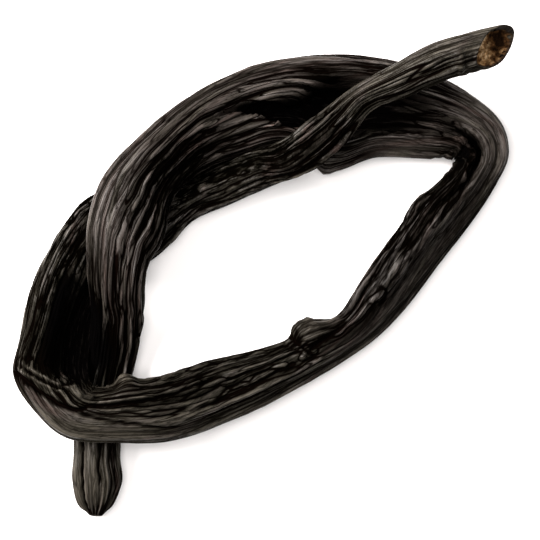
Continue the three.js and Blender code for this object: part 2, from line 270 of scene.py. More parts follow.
width_share = signed_power(np.cos(angle), 2 / SQUARENESS)[None, :]
height_share = signed_power(np.sin(angle), 2 / SQUARENESS)[None, :]
from_trough = (width_share - hollow_at) / hollow_half
wall = np.where(from_trough < 0, STEEP_WALL, GENTLE_WALL)
sunk = np.maximum(0, hollow) * smooth(wall * (1 - np.abs(from_trough)))
sloped = np.abs(fall) * smooth((np.sign(fall) * width_share + 0.4) / 1.4)
top_share = height_share * (1 - sloped) * (1 - 2 * sunk)
height = np.where(height_share > 0, top_share, height_share) * thick / 2
skin = centre[:, None] + across[:, None] * width_share[..., None] + up[:, None] * height[..., None]
girth = np.linalg.norm(np.roll(skin, -1, axis=1) - skin, axis=2).sum(axis=1)
step_ahead = np.gradient(skin, axis=0)
step_round = np.roll(skin, -1, axis=1) - np.roll(skin, 1, axis=1)
spread = np.linalg.norm(step_ahead, axis=2) / np.gradient(travel)[:, None]
room = np.clip(1.3 * spread - 0.15, 0.0, 1.0)  # 0 where the sections crowd together, 1 where they don't
print("girth from", round(girth[5:-5].min(), 1), "to", round(girth.max(), 1), "mm")

# %% [markdown]
# ## Wrinkles
#
# Wrinkles are what makes a vanilla pod: long plates of skin with narrow, deep creases between them, which
# run along the pod, split and join. Gradient noise has just that in its zero crossings, once it is stretched
# along the pod: its size without its sign is zero along thin lines and swells between them. The noise is
# read on a cylinder as wide as the pod is at that place, so it closes on itself round the section.

# %% Gradient noise
rng = np.random.default_rng(7)
shuffle = np.tile(rng.permutation(256), 3)
directions = unit(rng.normal(size=(256, 3)))


def noise(x, y, z):
    """At each corner of a unit cube a random slope times the way to that corner, all softly mixed."""
    cell = [np.floor(c).astype(int) for c in (x, y, z)]
    part = [c - k for c, k in zip((x, y, z), cell)]
    ease = [p * p * p * (p * (6 * p - 15) + 10) for p in part]
    total = 0.0
    for corner in np.ndindex(2, 2, 2):
        i, j, k = ((c + o) & 255 for c, o in zip(cell, corner))
        slope = directions[shuffle[shuffle[shuffle[i] + j] + k]]
        away = np.stack([p - o for p, o in zip(part, corner)], axis=-1)
        weight = np.prod([e if o else 1 - e for e, o in zip(ease, corner)], axis=0)
        total = total + weight * (slope * away).sum(axis=-1)
    return total


print("noise spans", np.round(np.percentile(noise(*rng.uniform(0, 50, (3, 20000))), [1, 99]), 2))

# %% [markdown]
# Where the noise is steep its zero line is thin, and where it is shallow the line would be a wide blot. Real
# creases are equally thin everywhere. So the noise is divided by its own steepness, which turns it into a
# distance: about how many millimetres away the nearest crease is, with the noise's sign.

# %% Distance from a crease


def neighbourhood(values, along_reach, round_reach):
    """The mean over a window of the grid, which closes on itself round the section."""
    padded = np.pad(values, ((along_reach, along_reach), (0, 0)), mode="edge")
    padded = np.pad(padded, ((0, 0), (round_reach, round_reach)), mode="wrap")
    for axis, reach in ((0, along_reach), (1, round_reach)):
        sums = np.cumsum(padded, axis=axis)
        sums = np.concatenate([np.zeros_like(np.take(sums, [0], axis)), sums], axis=axis)
        width = 2 * reach + 1
        count = padded.shape[axis] - width + 1
        upper = np.take(sums, np.arange(count) + width, axis)
        padded = (upper - np.take(sums, np.arange(count), axis)) / width
    return padded


def to_crease(value):
    """The value divided by its slope: the root of the mean square of the slopes around each point."""
    rise_round = np.roll(value, -1, axis=1) - np.roll(value, 1, axis=1)
    round_slope = rise_round / np.linalg.norm(step_round, axis=2)
    along_slope = np.gradient(value, axis=0) / np.linalg.norm(step_ahead, axis=2)
    steepness = np.sqrt(neighbourhood(round_slope ** 2 + along_slope ** 2, 2, 3))
    return value / (steepness + 0.1 * steepness.mean())


print("steps round the skin", round(float(np.linalg.norm(step_round, axis=2).mean() / 2), 3), "mm on average")

# %% [markdown]
# Some stretches of the pod are rough: there the creases sway and twist more, and the skin is mottled. A table
# says how rough each row is at its inner and at its outer margin, and across the pod the one passes into the
# other.

# %% How rough and mottled, row by row
MOTTLED = {  # at the inner margin, at the outer margin
    "stem leaves": (0.2, 0.5), "stem inside": (0.5, 0.9), "lower a": (0.8, 0.9), "lower b": (0.8, 0.9),
    "lower c": (0.8, 0.9), "under a": (0.8, 0.8), "under b": (0.9, 0.8), "left a": (1.0, 0.9),
    "left b": (0.9, 0.6), "left c": (0.5, 0.2), "bottom a": (0.7, 0.1), "bottom b": (0.8, 0.2),
    "bottom c": (0.8, 0.3), "knuckle": (0.6, 0.2), "past knuckle": (0.7, 0.1), "right a": (0.9, 0.1),
    "right b": (0.9, 0.1), "right c": (0.9, 0.1), "right d": (0.6, 0.1), "top c": (0.6, 0.0),
    "upper b": (0.8, 0.0), "upper c": (0.9, 0.0), "over a": (0.8, 0.0), "over b": (0.3, 0.0),
    "tip a": (0.4, 0.4), "tip b": (0.5, 0.4), "tip c": (0.5, 0.4)}
NOT_MOTTLED = (0.0, 0.0)


def over_rows(at_margins, start):
    """The value at the inner margin passes to the one at the outer margin, round the place start."""
    carried = through(np.column_stack([at_margins, start]), t_of)
    inner_value, outer_value, start = (carried[:, k:k + 1] for k in range(3))
    return inner_value + (outer_value - inner_value) * smooth((width_share - start + 0.45) / 0.9)


mottled = over_rows([MOTTLED.get(name, NOT_MOTTLED) for name in names], np.zeros(len(names)))
print("rough by more than half:", round(float((mottled > 0.5).mean() * 100)), "% of the skin")

# %% [markdown]
# The creases are read on a grid: so far along the skin, and so far round a ring whose radius slowly follows
# the pod's girth. Each line along the skin is measured by its own length, so that the plates on the inside
# of a bend aren't shorter than those on the outside. A sway keeps them from being straight.

# %% The grid that the creases are read on
GIRTH_REACH = 14.0  # millimetres over which the cylinder's radius follows the pod's girth
nearness = np.exp(-(((travel[:, None] - travel[None, :]) / GIRTH_REACH) ** 2)) * np.gradient(travel)[None, :]
radius = (nearness @ girth / nearness.sum(axis=1))[:, None] / (2 * math.pi)
along_grid = np.repeat(travel[:, None], SIDES, axis=1)
along_skin = np.cumsum(np.linalg.norm(np.diff(skin, axis=0, prepend=skin[:1]), axis=2), axis=0)
ring_x = radius * np.cos(angle)[None, :]
ring_y = radius * np.sin(angle)[None, :]


def sway(slow, quick, short):
    """How far the plates swing sideways, in millimetres: slowly, quickly and, where it is rough, shortly."""
    swing = 0.35 * noise(along_grid / 12 + slow, ring_x / 2.5, ring_y / 2.5)
    swing += 0.16 * (1 + 0.8 * mottled) * noise(along_grid / 2.6 + quick, ring_x / 1.4, ring_y / 1.4)
    return swing + 0.11 * mottled * noise(along_grid / 1.1 + short, ring_x / 0.8, ring_y / 0.8)


swayed_x, swayed_y = ring_x + sway(0, 3, 71), ring_y + sway(31, 57, 93)
print("the ring's radius is", round(radius.min(), 1), "to", round(radius.max(), 1), "mm")

# %% [markdown]
# A plate rises steeply out of its creases and is flat on top. Every other plate, where the noise is below
# zero, lies lower than its neighbours, as shrunken skin does. Three sizes of plates are laid over each
# other, with broad folds below them and short kinks across them.

# %% Plates of three sizes
LOW_PLATE = 0.5


def plates(distance, crest, power):
    """(|d| / crest)^power up to 1, and lower by LOW_PLATE where the distance d is below zero."""
    return np.minimum(np.abs(distance) / crest, 1.0) ** power * (1 - LOW_PLATE * smooth(-distance / crest))


def long_noise(frequency_along, frequency_round, shift):
    """Gradient noise read along the pod and round it, at so many waves a millimetre."""
    return noise(along_skin * frequency_along + shift, swayed_x * frequency_round, swayed_y * frequency_round)


PLATE_WAVES = {  # waves a millimetre along the pod, and round it, and a shift
    "broad": (0.045, 0.8, 40),
    "medium": (0.06, 1.6, 0),
    "fine": (0.12, 3.2, 17),
}
from_crease = {name: to_crease(long_noise(*waves)) for name, waves in PLATE_WAVES.items()}
kinks = long_noise(0.45, 1.6, 5)
hair = long_noise(0.9, 5.0, 9)
folds = 0.12 * np.cos(8 * angle[None, :] + 0.1 * along_grid + 0.6 * np.sin(0.11 * along_grid))
folds = folds + 0.08 * np.cos(5 * angle[None, :] - 0.07 * along_grid + 1.0)
near_crease = np.abs(from_crease["medium"]) < 0.1
print("creases less than 0.1 mm away:", round(float(near_crease.mean() * 100)), "% of the skin")

# %% [markdown]
# Where parts of the pod press on each other, in the fold at the left and inside the sharp bend, the skin is
# pushed up into ridges that slant over the wrinkles. A ridge, like a groove further down, is a soft band
# between two places that are given by a row and a share across.

# %% Ridges
half_width = np.linalg.norm(across, axis=1)[:, None]
wobble = 0.25 * noise(along_grid * 1.3, ring_x * 1.3, ring_y * 1.3)


def trail(start, stop, start_share, stop_share, wide):
    """A soft band that slants over the upper side, from one row and share across to another."""
    way = (along_grid - travel_at(start)) / (travel_at(stop) - travel_at(start))
    sideways = (width_share - start_share - (stop_share - start_share) * way) * half_width + wobble
    ends = smooth((way + 0.1) / 0.15) * smooth((1.1 - way) / 0.15)
    return ends * np.exp(-((sideways / wide) ** 2)) * (height_share > 0)


RIDGES = [  # row from, row to, share across there, and there, height as a share, width in millimetres
    ("fold a", "fold b", 0.62, -0.38, 1.0, 0.30),
    ("fold b", "fold c", -0.38, -0.56, 1.0, 0.30),
    ("fold a", "fold b", 0.86, -0.08, 0.8, 0.24),
    ("bend a", "bend c", -0.36, -0.42, 0.7, 0.20),
    ("right d", "bend b", -0.22, -0.80, 0.7, 0.16),
    ("knuckle", "past knuckle", -0.70, -0.76, 0.6, 0.50),
]
ridge = sum(high * trail(start, stop, one, other, wide) for start, stop, one, other, high, wide in RIDGES)
ridge = np.minimum(ridge, 1.0)
print("on a ridge:", round(float((ridge > 0.5).mean() * 100), 1), "% of the skin")

# %% [markdown]
# On a ridge, and where a bend stretches the skin, the creases are faint, and where the sections crowd
# together they are gone. The whole wrinkle is the sum of the folds, the plates, the kinks and the finest
# hair lines.

# %% The whole wrinkle
PLATE_RELIEF = {  # height in millimetres, millimetres from a crease to the crest, power
    "broad": (0.30, 0.46, 0.75),
    "medium": (0.34, 0.30, 0.75),
    "fine": (0.14, 0.17, 0.8),
}
CREASE_DEPTH = 0.42  # how far the creases' bottoms lie below the smooth skin, in millimetres
KINK_HEIGHT, HAIR_HEIGHT = 0.14, 0.06
FAINT_WHERE_CALM, FAINT_ON_RIDGE = 0.85, 0.8  # the share of the creases' depth that is gone there
calmed = np.abs(calm) * smooth((np.sign(calm) * (width_share - calm_from) + 0.15) / 0.3)
creased = (1 - FAINT_WHERE_CALM * calmed) * (1 - FAINT_ON_RIDGE * ridge) * room ** 0.5
plate_relief = sum(high * plates(from_crease[name], crest, power)
                   for name, (high, crest, power) in PLATE_RELIEF.items()) - CREASE_DEPTH
wrinkle = folds + creased * (plate_relief + KINK_HEIGHT * kinks + HAIR_HEIGHT * hair)
print("wrinkles from", round(float(wrinkle.min()), 2), "to", round(float(wrinkle.max()), 2), "mm")

# %% [markdown]
# ## Swellings, clefts and grooves
#
# A few forms stand alone: the knuckle where the bottom strand was once bent, the lump over the buried tip,
# the nub under the stem, and two low bulges. Each is a rounded box, whose exponent says how square it is.

# %% Swellings
SWELLINGS = [  # row, further along, round from outer margin, height, reach before, after, round, squareness
    ("knuckle", 0.35, 2.75, 1.42, 1.45, 3.0, 0.75, 2.8),
    ("over tip", 0.2, 2.9, 0.9, 1.5, 1.7, 0.8, 2.5),
    ("top c", 0.4, 3.1, 0.50, 0.8, 0.9, 0.6, 2.0),
    ("right c", 0.6, 2.9, 0.40, 1.6, 1.8, 0.6, 2.0),
    ("stem", -3.2, 1.9, 0.35, 0.9, 0.9, 0.7, 2.0),
]
RIDGE_HEIGHT = 0.45
swelling = np.zeros_like(along_grid)
for name, further, around, high, before, after, wide, square in SWELLINGS:
    past = along_grid - travel_at(name, further)
    reach = np.where(past < 0, before, after)
    turned = (angle[None, :] - around + math.pi) % (2 * math.pi) - math.pi
    swelling += high * np.exp(-np.abs(past / reach) ** square - np.abs(turned / wide) ** square)
swelling = swelling * (1 + 0.6 * wobble) + RIDGE_HEIGHT * ridge
print("highest swelling", round(float(swelling.max()), 2), "mm")

# %% [markdown]
# Where the skin is squeezed it has deep clefts and grooves. A cleft is a narrow trench that follows a
# slanting, slightly wavy line, and a groove is a longer one between two rows.

# %% Clefts and grooves
CLEFTS = [  # row, further along, share across, slant, depth, width, reach across in millimetres
    ("knuckle", -0.75, -0.55, 0.45, 0.65, 0.18, 1.5),
    ("knuckle", -1.35, -0.40, 0.70, 0.25, 0.12, 1.2),
    ("fold a", -0.6, 0.35, -0.37, 0.40, 0.15, 2.2),
    ("fold b", -1.0, -0.35, 0.15, 0.35, 0.20, 1.6),
]
GROOVES = [  # row from, row to, share across there, and there, depth, width in millimetres
    ("under bottom", "tip end", 0.62, 0.55, 0.50, 0.12),
    ("under bottom", "tip b", -0.28, -0.10, 0.40, 0.10),
    ("fold a", "fold b", 0.95, 0.36, 0.55, 0.24),
    ("fold b", "fold c", 0.36, -0.15, 0.60, 0.24),
    ("fold a", "fold b", 0.74, -0.22, 0.40, 0.14),
    ("fold c", "bottom b", -0.30, -0.45, 0.45, 0.18),
    ("fold c", "bottom a", 0.05, 0.60, 0.35, 0.15),
    ("top d", "upper a", -0.14, 0.06, 0.70, 0.20),
    ("knuckle", "past knuckle", -0.25, -0.55, 0.50, 0.26),
    ("top a", "top c", -0.43, -0.68, 0.40, 0.13),
]
cleft = np.zeros_like(along_grid)
for name, further, across_at, slant, deep, wide, reach in CLEFTS:
    sideways = (width_share - across_at) * half_width
    past = along_grid - travel_at(name, further) - slant * sideways + 1.6 * wobble
    cleft = np.maximum(cleft, deep * np.exp(-((past / wide) ** 2) - np.abs(sideways / reach) ** 4))
for start, stop, start_share, stop_share, deep, wide in GROOVES:
    cleft = np.maximum(cleft, deep * trail(start, stop, start_share, stop_share, wide))
cleft = np.where(height_share > 0, cleft, 0)
print("deepest cleft", round(float(cleft.max()), 2), "mm")

# %% [markdown]
# The relief is pushed out along the smooth skin's own normals. It is weak underneath, where the table has
# pressed the pod flat, where the pod has sunk to a thin lip, and on the inside of a bend, where the sections
# crowd together and the skin buckles across instead.

# %% The wrinkled skin
LOST_UNDERNEATH, LOST_ON_LIP = 0.55, 0.85  # the share of the wrinkles that is pressed or thinned away
outward = unit(np.cross(step_ahead, step_round))
buckles = noise(along_grid * 0.55 + 60, swayed_x * 0.45, swayed_y * 0.45)
buckles = 0.5 * (1 - room) * (plates(buckles, 0.25, 0.7) - 0.6)
underneath = 1 - LOST_UNDERNEATH * smooth(0.5 - 1.5 * np.sin(angle))[None, :]
thinned = 1 - LOST_ON_LIP * smooth((sunk - 0.25) / 0.45)
fade = smooth((travel + 0.6) / 1.2) * smooth((LENGTH - travel + 0.3) / 1.5)
relief = (wrinkle * underneath * room * thinned + buckles + swelling - cleft) * fade[:, None]
points = skin + outward * relief[..., None]
points[..., 2] = np.maximum(points[..., 2], 0)
heights = points[..., 2]
print("heights from", round(float(heights.min()), 3), "to", round(float(heights.max()), 1), "mm")

# %% [markdown]
# ## One closed mesh
#
# The grid of points becomes quads, closed round the section. The two ends are closed by rings that shrink
# to a middle point: at the stem the cut tissue, sunk into a rim of skin that is thickest on the outer side,
# with a soft core that has shrunk deeper, and at the tip a round end.

# %% The caps
CUT_RINGS = 20
TIP_RINGS = 6
TIP_DOME = 0.25
CUT_DEPTH, CORE_DEPTH, FIBRE_HEIGHT = 0.45, 0.35, 0.34
CORE_PLACE, CORE_REACH = (23.4, 22.9), 0.75


def cap_rings(rim, out, rings, profile):
    """Rings from the rim to its middle: ring k lies k/rings of the way in, moved along out by profile."""
    middle = rim.mean(axis=0)
    inward = (np.arange(1, rings) / rings)[:, None]
    flat = rim[None] * (1 - inward[..., None]) + middle * inward[..., None]
    raised = flat + out * profile(inward, flat)[..., None]
    return raised, middle + out * profile(np.ones((1, 1)), middle[None, None])[0, 0]


def in_the_cut(inward):
    """0 on the rim of skin, 1 on the tissue inside it; the rim is widest at the outer margin."""
    rim_width = 0.05 + 0.15 * smooth((np.cos(angle + 0.3) - 0.6) / 0.35)
    return smooth((inward - rim_width) / 0.10)


def core_of_cut(place):
    """1 at the soft, shrunken core of the tissue, which lies off its middle, and 0 far from it."""
    away = np.hypot(place[..., 0] - CORE_PLACE[0], place[..., 1] - CORE_PLACE[1])
    return np.exp(-((away / CORE_REACH) ** 2))


def cut_profile(inward, place):
    """The tissue lies below the rim, deepest at its core, with the torn ends of fibres standing in it."""
    x, y, z = np.moveaxis(place, -1, 0)
    fibres = noise(x * 3.1, y * 3.1, z * 3.1) + 0.6 * noise(x * 7.3, y * 7.3, z * 7.3)
    inside = in_the_cut(inward) if place.shape[1] == SIDES else 1.0
    return inside * (FIBRE_HEIGHT * fibres - CUT_DEPTH - CORE_DEPTH * core_of_cut(place))


def tip_profile(inward, place):
    """A low dome: its height times the root of 1 - (1 - way in)^2."""
    return TIP_DOME * np.sqrt(1 - (1 - inward) ** 2) * np.ones(place.shape[:2])


out_of_stem = -np.cross(up[0], unit(across[0]))
out_of_tip = np.cross(up[-1], unit(across[-1]))
cut_cap = cap_rings(points[0], out_of_stem, CUT_RINGS, cut_profile)
tip_cap = cap_rings(points[-1], out_of_tip, TIP_RINGS, tip_profile)
print("the cut is", round(float(np.ptp(points[0] @ unit(across[0]))), 1), "mm wide")

# %% [markdown]
# The mesh gets its corners and faces as whole arrays: quads between neighbouring rings, and a fan of
# triangles round each middle point.

# %% Grid to mesh


def closed_grid(grid, first_cap, last_cap):
    """Vertices and faces of a grid that closes round its second axis, with a cap of rings at either end."""
    first_rings, first_middle = first_cap
    last_rings, last_middle = last_cap
    body = np.concatenate([first_rings[::-1], grid, last_rings])
    count, sides = body.shape[:2]
    vertices = np.concatenate([body.reshape(-1, 3), first_middle[None], last_middle[None]])
    side = np.arange(sides)
    after = (side + 1) % sides
    base = np.arange(count - 1)[:, None] * sides
    quads = np.stack([base + side, base + sides + side, base + sides + after, base + after], axis=-1)
    first, last, end = count * sides, count * sides + 1, (count - 1) * sides
    fans = [np.stack([side, after, np.full(sides, first)], axis=1)]
    fans.append(np.stack([end + after, end + side, np.full(sides, last)], axis=1))
    return vertices, quads.reshape(-1, 4), np.concatenate(fans)


def mesh_object(name, vertices, quads, triangles):
    """A smooth-shaded mesh object from arrays of corners, in millimetres."""
    mesh = bpy.data.meshes.new(name)
    loops = np.concatenate([quads.ravel(), triangles.ravel()])
    sizes = np.concatenate([np.full(len(quads), 4), np.full(len(triangles), 3)])
    mesh.vertices.add(len(vertices))
    mesh.vertices.foreach_set("co", (vertices * MM).ravel())
    mesh.loops.add(len(loops))
    mesh.loops.foreach_set("vertex_index", loops)
    mesh.polygons.add(len(sizes))
    mesh.polygons.foreach_set("loop_start", np.concatenate([[0], np.cumsum(sizes)[:-1]]))
    mesh.update(calc_edges=True)
    mesh.validate()
    mesh.shade_smooth()
    made = bpy.data.objects.new(name, mesh)
    bpy.context.scene.collection.objects.link(made)
    return made


vertices, quads, fans = closed_grid(points, cut_cap, tip_cap)
pod = mesh_object("vanilla_pod", vertices, quads, fans)
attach(pod, "root")
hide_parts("pod")
print("triangles:", 2 * len(quads) + len(fans))

# %% [markdown]
# ## The finish, row by row
#
# A cured pod isn't equally dark all over. Dried oil has made it paler where it was handled and on the outside
# of its bends. A second table says how light it is at both margins of each row, and another round which place
# across the one passes into the other. Besides that bloom, the lightness is painted light and painted shade:
# lighter where the light falls, and down to a painted black where shade falls, in the pit, between the
# strands and where the pod is pressed. The spots are single patches of painted light or painted shade.

# %% How light: bloom, painted light and painted shade
# bloom with painted light and shade at each margin: low values paint the shade of the pit and pressed skin
BLOOM_AND_LIGHT = {  # at the inner margin, at the outer margin
    "cut end": (0.75, 0.85), "stem": (0.60, 0.85), "stem over rim": (0.50, 0.85),
    "stem waist": (0.50, 0.80), "stem leaves": (0.50, 0.42), "stem inside": (0.48, 0.38),
    "lower a": (0.60, 0.26), "lower b": (0.60, 0.24), "lower c": (0.58, 0.26), "under a": (0.50, 0.30),
    "under b": (0.45, 0.38), "left a": (0.34, 0.47), "left b": (0.12, 0.62), "left c": (0.05, 0.58),
    "fold a": (0.15, 0.50), "fold b": (0.45, 0.62), "fold c": (0.48, 0.76), "over tip": (0.55, 0.74),
    "bottom a": (0.50, 0.66), "bottom b": (0.45, 0.58), "bottom c": (0.50, 0.52), "knuckle": (0.55, 0.55),
    "past knuckle": (0.45, 0.48), "right a": (0.45, 0.34), "right b": (0.36, 0.32),
    "right c": (0.37, 0.34), "right d": (0.30, 0.50), "bend a": (0.26, 0.80), "bend b": (0.30, 0.80),
    "bend c": (0.50, 0.80), "top a": (0.70, 0.78), "top b": (0.68, 0.78), "top c": (0.60, 0.74),
    "top d": (0.62, 0.71), "upper a": (0.60, 0.69), "upper b": (0.36, 0.68), "upper c": (0.24, 0.69),
    "over a": (0.36, 0.72), "over b": (0.60, 0.76), "dive a": (0.65, 0.30), "dive b": (0.48, 0.00),
    "dive c": (0.22, 0.00), "under bottom": (0.60, 0.65), "tip a": (0.68, 0.86), "tip b": (0.68, 0.86),
    "tip c": (0.62, 0.82), "tip end": (0.65, 0.80)}
BLOOM_AND_LIGHT_FROM = {"left a": 0.3, "left b": 0.5, "left c": 0.55, "fold a": 0.35, "top c": 0.4, "top d": 0.3,
             "dive a": 0.75, "dive b": 0.45, "upper b": 0.1, "upper c": 0.3, "over a": 0.2}
# spots of painted light and painted shade: a change below zero paints shade into a trough or pit
LIGHT_AND_SHADE_SPOTS = [  # row, further along, share across, change of paleness, reach along in millimetres, reach across
    ("top c", 1.2, 0.20, -0.80, 2.4, 0.45),
    ("top b", -0.5, 0.05, -0.50, 4.5, 0.50),
    ("bend b", -0.5, -0.65, -0.40, 2.6, 0.35),
    ("left a", 1.5, -0.60, -0.25, 3.5, 0.50),
    ("left b", 0.5, 0.25, -0.25, 2.5, 0.25),
    ("over b", 0.0, -0.75, -0.30, 2.5, 0.25),
    ("over tip", 0.2, -0.95, 0.35, 1.3, 0.35),
    ("stem leaves", 0.6, -0.70, -0.22, 2.2, 0.35),
    ("top c", 0.5, -0.95, 0.45, 1.8, 0.30),
    ("top b", 0.5, -0.80, 0.22, 5.0, 0.20),
]
# a ridge is painted lighter still
PALER_ON_RIDGE = 0.35
pale = over_rows([BLOOM_AND_LIGHT[name] for name in names], [BLOOM_AND_LIGHT_FROM.get(name, 0.0) for name in names])
for name, further, across_at, change, reach, wide in LIGHT_AND_SHADE_SPOTS:
    past = (along_grid - travel_at(name, further)) / reach
    pale += change * np.exp(-(past ** 2) - ((width_share - across_at) / wide) ** 2)
pale = np.clip(pale + PALER_ON_RIDGE * ridge, 0, 1.2)
print("mean paleness", round(float(pale.mean()), 2))

# %% [markdown]
# The material has to know where on the pod it is. Each vertex carries its distances from the nearest crease
# of each size, with their signs, because a crease is then as sharp in the finish as the picture is, however
# coarse the mesh: the shader finds the exact line where the distance passes zero. It also carries how far its
# spot stands out of its surroundings, how creased, cleft and sunk it is, how much bloom and painted light or
# shade it gets, how mottled and olive the skin is there, and where the cut is. The flow is the spot's place
# on the grid, which the fine textures follow.

# %% What each vertex carries


def add_values(made, name, values, at_cut=0.0, at_tip=0.0):
    """Stores a number for every vertex, with others on the caps, under a name that the material reads."""
    on_cut = np.broadcast_to(at_cut, (CUT_RINGS - 1, SIDES))[::-1]
    on_tip = np.full((TIP_RINGS - 1, SIDES), at_tip)
    everywhere = np.concatenate([on_cut.ravel(), values.ravel(), on_tip.ravel(), [on_cut[0, 0], at_tip]])
    layer = made.data.attributes.new(name, "FLOAT", "POINT")
    layer.data.foreach_set("value", everywhere.astype(np.float32))


shape = along_grid.shape
proud = wrinkle - neighbourhood(wrinkle, 2, 8)
add_values(pod, "proud", np.clip(0.5 + proud / 0.40, 0, 1), 0.5, 0.5)
for name, distance in from_crease.items():
    add_values(pod, name, distance, 0.3, 0.3)
add_values(pod, "creased", creased * np.ones(shape), 0.0, 1.0)
add_values(pod, "cleft", np.clip(1.6 * cleft, 0, 1), core_of_cut(cut_cap[0]))
# bloom with painted light and shade, for the colour and the film
add_values(pod, "pale", pale, 0.35, 0.8)
add_values(pod, "mottled", np.clip(mottled, 0, 1), 0.0, 0.3)
add_values(pod, "sunk", sunk)
olive_ends = 1 - smooth((travel - travel_at("knuckle")) / 8) + smooth((travel - travel_at("dive b")) / 8)
add_values(pod, "olive", olive_ends[:, None] * np.ones(shape), 0.0, 1.0)
add_values(pod, "cut", np.zeros(shape), in_the_cut((np.arange(1, CUT_RINGS) / CUT_RINGS)[:, None]))
flow = np.stack([along_skin, ring_x, ring_y], axis=-1)
cap_flow = [np.repeat(flow[:1], CUT_RINGS - 1, axis=0), flow, np.repeat(flow[-1:], TIP_RINGS - 1, axis=0)]
flow = np.concatenate([np.concatenate(cap_flow).reshape(-1, 3), [[0, 0, 0]], [[LENGTH, 0, 0]]])
flow_layer = pod.data.attributes.new("flow", "FLOAT_VECTOR", "POINT")
flow_layer.data.foreach_set("vector", flow.astype(np.float32).ravel())
print("attributes:", [layer.name for layer in pod.data.attributes if not layer.is_internal])

# %% [markdown]
# ## Shader maths in Python
#
# A node tree is easier to read as arithmetic. A small class wraps an output socket, and its operators add
# the Math nodes, so that 1 - mask * 0.3 works. Every other node comes from one method.

# %% Sockets with operators


class Graph:
    """A material's node tree, whose nodes are all added by node()."""

    def __init__(self, name):
        self.material = bpy.data.materials.new(name)
        self.material.use_nodes = True
        self.tree = self.material.node_tree
        self.tree.nodes.clear()

    def node(self, kind, settings=(), sockets=()):
        """Adds a node of that type: first its settings, then the values or links of its sockets."""
        made = self.tree.nodes.new(kind)
        for name, value in dict(settings).items():
            if name == "stops":
                for stop, (position, colour) in zip(self.stops_of(made, len(value)), value):
                    stop.position, stop.color = position, (*colour, 1.0)
            else:
                setattr(made, name, value)
        for name, value in dict(sockets).items():
            if isinstance(value, Value):
                self.tree.links.new(value.socket, made.inputs[name])
            else:
                made.inputs[name].default_value = value
        return made

    def stops_of(self, ramp, count):
        """The stops of a colour ramp, as many as are wanted."""
        elements = ramp.color_ramp.elements
        while len(elements) < count:
            elements.new(0.5)
        return elements

    def value(self, kind, output, settings=(), sockets=()):
        """Adds a node and wraps one of its outputs."""
        return Value(self, self.node(kind, settings, sockets).outputs[output])

    def mask(self, name):
        """A number that the vertices carry."""
        return self.value("ShaderNodeAttribute", "Fac", {"attribute_name": name})

    def mix(self, factor, a, b, blend="MIX"):
        """A colour between a and b, or between a and a times b where blend is MULTIPLY."""
        made = self.node("ShaderNodeMix", {"data_type": "RGBA", "blend_type": blend})
        for name, value in {"Factor": factor, "A": a, "B": b}.items():
            socket = next(s for s in made.inputs if s.name == name and s.enabled)
            if isinstance(value, Value):
                self.tree.links.new(value.socket, socket)
            else:
                socket.default_value = value if name == "Factor" else (*value, 1.0)
        return Value(self, next(s for s in made.outputs if s.enabled))


class Value:
    """An output socket that can stand in a sum."""

    def __init__(self, graph, socket):
        self.graph, self.socket = graph, socket

    def math(self, operation, *others, clamp=False):
        """A Math node on this value and the others."""
        sockets = dict(enumerate((self, *others)))
        return self.graph.value("ShaderNodeMath", 0, {"operation": operation, "use_clamp": clamp}, sockets)

    def __add__(self, other):
        return self.math("ADD", other)

    def __sub__(self, other):
        return self.math("SUBTRACT", other)

    def __rsub__(self, other):
        return self * -1.0 + other

    def __mul__(self, other):
        return self.math("MULTIPLY", other)

    __rmul__ = __mul__

    def size(self):
        """The value without its sign."""
        return self.math("ABSOLUTE")

    def held(self):
        """The value held between 0 and 1."""
        return self.math("ADD", 0.0, clamp=True)


print("operators ready:", [name for name in vars(Value) if name.startswith("__r")])

# %% [markdown]
# ## The skin's finish
#
# The skin is nearly black, and what makes it look dark grey is a thin film of oil on the proud plates. In
# the creases there is neither light nor film. So one number, the tone, says how much of a spot is in the
# open, and the colour paints that in: the tone rises on the proud plates, a painted highlight, and falls to
# nothing in a crease, on a lower plate, on sunken skin and in a cleft, which is painted shade. The colour,
# the film and the roughness all follow it.

# %% Creases and tone
finish = Graph("pod_skin")
flow_place = finish.value("ShaderNodeAttribute", "Vector", {"attribute_name": "flow"})


def clouds(place, scales, detail, roughness=0.5):
    """A noise texture with so many clouds to each unit of the place, in x, y and z."""
    scaled = finish.value("ShaderNodeMapping", 0, {}, {"Vector": place, "Scale": scales})
    sockets = {"Vector": scaled, "Scale": 1.0, "Detail": detail, "Roughness": roughness}
    return finish.value("ShaderNodeTexNoise", 0, {}, sockets)


def crease(value, width, strength):
    """The strength where the value is zero, falling to nothing where its size reaches the width."""
    return (1 - value.size() * (1 / width)).held() * strength


creased_mask, bloom_and_light_mask, sunk_mask = finish.mask("creased"), finish.mask("pale"), finish.mask("sunk")
mottled_mask, cut_mask, proud_mask = finish.mask("mottled"), finish.mask("cut"), finish.mask("proud")
streaks = clouds(flow_place, (0.16, 3.0, 3.0), 5.0, 0.6)
rough = clouds(flow_place, (0.5, 5.0, 5.0), 4.0, 0.7)
blots = clouds(flow_place, (0.8, 2.4, 2.4), 4.0, 0.7)
grain = clouds(flow_place, (6.0, 6.0, 6.0), 4.0, 0.65)
patches = clouds(flow_place, (0.3, 0.3, 0.3), 2.0)
